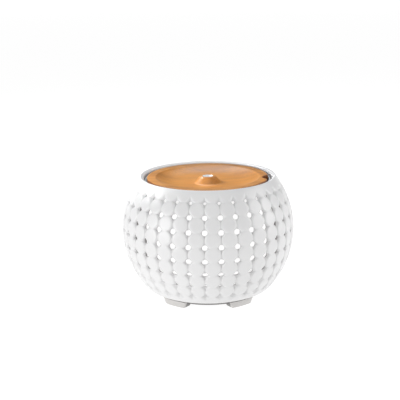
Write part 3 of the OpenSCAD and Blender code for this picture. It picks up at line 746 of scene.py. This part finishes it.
def board():
    """Green solder resist with thin lighter tracks."""
    n = Nodes("circuit_board", (0.02, 0.14, 0.05), 0.3)
    tracks = n.new("ShaderNodeTexBrick", Scale=260.0)
    n.set(tracks, {"Mortar Size": 0.012, "Brick Width": 0.9, "Row Height": 0.3})
    n.link(n.place, tracks.inputs["Vector"])
    n.set(tracks, {"Color1": (0.02, 0.14, 0.05, 1), "Color2": (0.022, 0.16, 0.06, 1),
                   "Mortar": (0.06, 0.3, 0.12, 1)})
    n.colour(tracks.outputs["Color"])
    n.roughness(n.spread(n.noise(500, 2), 0.26, 0.38))
    n.bump(tracks.outputs["Fac"], 0.2, 0.03 * MM)
    return n.mat


def foam():
    """Open-celled black foam."""
    n = Nodes("filter_foam", (0.03, 0.03, 0.035), 0.95)
    cells = n.new("ShaderNodeTexVoronoi", Scale=1200.0)
    n.link(n.place, cells.inputs["Vector"])
    n.colour(n.ramp(cells.outputs["Distance"], [(0.1, (0.008, 0.008, 0.009)), (0.6, (0.06, 0.06, 0.065))]))
    n.bump(cells.outputs["Distance"], 0.8, 0.4 * MM)
    return n.mat


def brushed(name, base, roughness, along=(1, 1, 14)):
    """Metal with fine marks in one direction."""
    n = Nodes(name, base, roughness, 1.0)
    marks = n.noise(500, 3, 0.6, n.mapped(along))
    n.colour(n.ramp(marks, [(0.3, shade(base, 0.9)), (0.7, shade(base, 1.06))]))
    n.roughness(n.spread(marks, roughness - 0.08, roughness + 0.08))
    n.bump(marks, 0.08, 0.03 * MM)
    return n.mat


def make_materials():
    """One material for each slot of the record."""
    return {
        "glazed_ceramic": glaze(),
        "lid_wood": wood(),
        "liner_plastic": moulded("liner_plastic", (0.84, 0.86, 0.88), 0.3),
        "clear_silicone": moulded("clear_silicone", (0.78, 0.79, 0.79), 0.45, vary=0.02),
        "tank_plastic": moulded("tank_plastic", (0.52, 0.56, 0.60), 0.22, vary=0.02, bump=0.05),
        "milky_diffuser": lit_plastic("milky_diffuser", (0.9, 0.9, 0.9), (1.0, 1.0, 1.0), 0.9),
        "base_plastic": footed(),
        "inner_plastic": moulded("inner_plastic", (0.62, 0.62, 0.62), 0.45),
        "foot_rubber": moulded("foot_rubber", (0.26, 0.26, 0.26), 0.8, bump=0.3),
        "dark_rubber": moulded("dark_rubber", (0.10, 0.085, 0.07), 0.75, bump=0.3),
        "steel_screws": brushed("steel_screws", (0.60, 0.60, 0.61), 0.32),
        "filter_foam": foam(),
        "fan_plastic": moulded("fan_plastic", (0.02, 0.02, 0.02), 0.4),
        "bearing_bronze": brushed("bearing_bronze", (0.55, 0.34, 0.14), 0.4),
        "coil_copper": brushed("coil_copper", (0.62, 0.25, 0.10), 0.35, (1, 1, 30)),
        "magnet": moulded("magnet", (0.035, 0.035, 0.04), 0.5),
        "steel_shaft": brushed("steel_shaft", (0.65, 0.65, 0.66), 0.2, (20, 20, 1)),
        "mist_plate_metal": brushed("mist_plate_metal", (0.70, 0.55, 0.25), 0.28, (14, 1, 1)),
        "clamp_steel": brushed("clamp_steel", (0.64, 0.64, 0.65), 0.3, (14, 1, 1)),
        "lead_jacket": moulded("lead_jacket", (0.6, 0.58, 0.54), 0.5),
        "circuit_board": board(),
        "component_black": moulded("component_black", (0.018, 0.018, 0.018), 0.35),
        "heat_sink_aluminium": brushed("heat_sink_aluminium", (0.70, 0.70, 0.71), 0.3, (1, 1, 14)),
        "led_board_white": moulded("led_board_white", (0.82, 0.82, 0.80), 0.3),
        "led_lens": lit_plastic("led_lens", (0.95, 0.9, 0.6), (1.0, 0.98, 0.92), 2.0, 0.2),
        "panel_plastic": moulded("panel_plastic", (0.76, 0.76, 0.765), 0.36, vary=0.01),
        "button_plastic": moulded("button_plastic", (0.80, 0.80, 0.805), 0.34, vary=0.01),
        "contact_nickel": brushed("contact_nickel", (0.66, 0.64, 0.60), 0.15, (1, 20, 1)),
    }


materials = make_materials()
for name, obj in nodes.items():
    obj.data.materials.clear()
    obj.data.materials.append(materials[slot_of[name]])

make_bowl(materials["glazed_ceramic"])
make_lid(materials["lid_wood"])
soften("base_plate", "footed_base", 0.45 * MM)
soften("tank", "water_tank", 0.35 * MM)
soften("rear_panel", "control_panel", 0.3 * MM)
soften("mist_button", "mist_key_cap", 0.6 * MM, 3)
soften("light_button", "light_key_cap", 0.6 * MM, 3)

# ---------------------------------------------------------------- camera, floor and light


def turned(a, b, degrees):
    """Two square directions after a turn of the first towards the second."""
    c, s = math.cos(math.radians(degrees)), math.sin(math.radians(degrees))
    return a * c + b * s, b * c - a * s


def make_camera():
    """A 76 mm lens 0.8 m from the bowl's centre, 16 degrees above it, turned a little off it."""
    distance, rise = 0.8, math.radians(16.37)
    centre = Vector((0, 0, BOWL_Z))
    place = centre + distance * Vector((0, -math.cos(rise), math.sin(rise)))
    forward = Vector((0, math.cos(rise), -math.sin(rise)))
    right = Vector((1, 0, 0))
    up = right.cross(forward)
    forward, right = turned(forward, right, -0.53)
    forward, up = turned(forward, up, 1.80)
    right, up = turned(right, up, -0.56)
    data = bpy.data.cameras.new("camera")
    data.sensor_width = 36
    data.lens = 76.46
    data.clip_start = 0.01
    camera = bpy.data.objects.new("camera", data)
    turn = Matrix((right, up, -forward)).transposed().to_4x4()
    camera.matrix_world = Matrix.Translation(place) @ turn
    bpy.context.scene.collection.objects.link(camera)
    bpy.context.scene.camera = camera


def hang(name, data, place, target):
    """Puts a lamp at a place, facing a target."""
    light = bpy.data.objects.new(name, data)
    light.location = place
    light.rotation_euler = (Vector(target) - Vector(place)).to_track_quat("-Z", "Y").to_euler()
    bpy.context.scene.collection.objects.link(light)


def soft_box(name, place, size, power, colour=(1, 1, 1)):
    """A broad lamp that faces the bowl's middle."""
    data = bpy.data.lights.new(name, "AREA")
    data.shape = "RECTANGLE"
    data.size, data.size_y = size
    data.energy = power
    data.color = colour
    hang(name, data, place, (0, 0, 0.06))


def spot_light(name, place, target, power, inner, outer):
    """A lamp with a narrow cone, its angles in degrees."""
    data = bpy.data.lights.new(name, "SPOT")
    data.energy = power
    data.spot_size = math.radians(outer)
    data.spot_blend = 1 - inner / outer
    data.shadow_soft_size = 0.04
    hang(name, data, place, target)


def make_floor():
    """A pale floor, almost white under the object, that turns up at its far edges."""
    mesh = bpy.data.meshes.new("floor")
    half, height = 12.0, 1.3
    corners = [(-half, -half), (half, -half), (half, half), (-half, half)]
    sides = [(i, i + 4, (i + 1) % 4 + 4, (i + 1) % 4) for i in range(4)]
    mesh.from_pydata([(x, y, z) for z in (0, height) for x, y in corners], [], [(0, 1, 2, 3)] + sides)
    floor = bpy.data.objects.new("floor", mesh)
    bpy.context.scene.collection.objects.link(floor)
    glowing = {"Emission Color": (1, 1, 1, 1), "Emission Strength": 0.95}
    paper = Nodes("floor_paper", (0.14, 0.14, 0.14), 0.9, **glowing)
    paper.roughness(paper.spread(paper.noise(80, 2), 0.85, 0.95))
    mesh.materials.append(paper.mat)


def make_lights():
    """A pale room, broad lamps all round and above, and a narrow one on the chimney."""
    world = bpy.data.worlds.new("room")
    world.use_nodes = True
    background = world.node_tree.nodes["Background"]
    background.inputs["Color"].default_value = (1, 1, 1, 1)
    background.inputs["Strength"].default_value = 0.15
    bpy.context.scene.world = world
    cool = (0.94, 0.97, 1.0)
    soft_box("key_left", (-0.86, -0.52, 0.22), (0.6, 0.5), 4.1)
    soft_box("rim_left", (-0.92, 0.35, 0.4), (0.4, 0.8), 0.3)
    soft_box("fill_right", (0.95, -0.1, 0.42), (0.7, 0.7), 3.9)
    soft_box("top_left", (-0.5, 0.55, 0.8), (0.5, 0.5), 2.0, cool)
    soft_box("top", (0.0, -0.2, 1.13), (0.9, 0.6), 2.0, cool)
    soft_box("back", (-0.12, 0.64, 1.04), (0.75, 0.6), 5.2, cool)
    soft_box("front", (0.0, -1.0, 0.87), (1.0, 0.8), 2.65)
    spot_light("lid_spot", (-0.66, 0.03, 0.47), (-0.007, -0.008, 0.109), 125, 1.4, 3.3)
    bpy.context.scene.view_settings.view_transform = "Standard"


make_camera()
make_floor()
make_lights()
